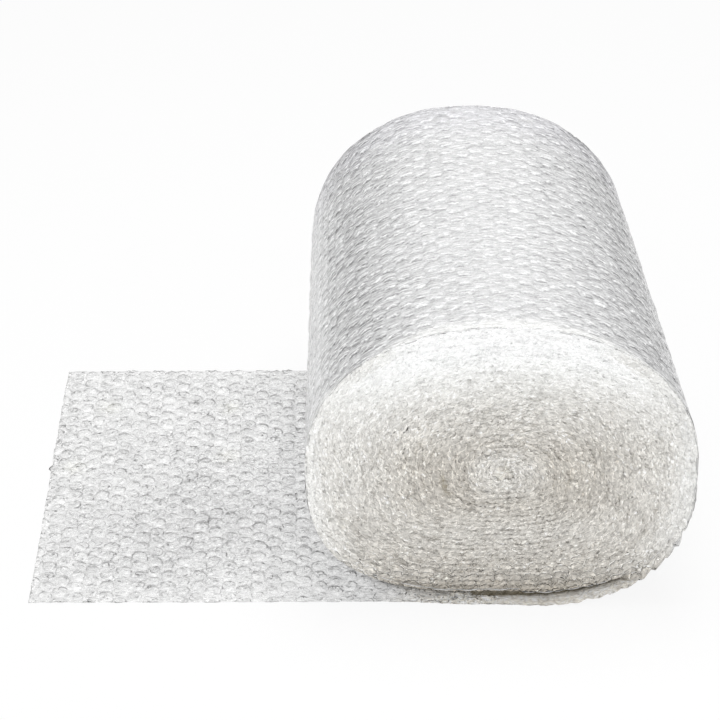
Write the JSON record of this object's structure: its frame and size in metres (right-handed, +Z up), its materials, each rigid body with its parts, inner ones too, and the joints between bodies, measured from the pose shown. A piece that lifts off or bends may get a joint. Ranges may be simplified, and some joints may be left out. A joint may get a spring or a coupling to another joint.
{
  "type": "bubble wrap roll",
  "caption": "Oval roll of clear bubble film wound on itself, lying on its side with its loose end flat on the floor, for wrapping goods.",
  "frame": {"origin": "on the floor, under the middle of the roll, half way along it", "axes": "+Z up, +Y along the roll from its near end to its far end, and the loose end points to -X"},
  "size_m": [0.4434, 0.308, 0.2257],
  "materials": {
    "clear_film": "clear soft polythene film, milky where many layers lie together"
  },
  "bodies": {
    "root": {"bubble_wrap_roll": "clear_film"}
  },
  "joints": []
}
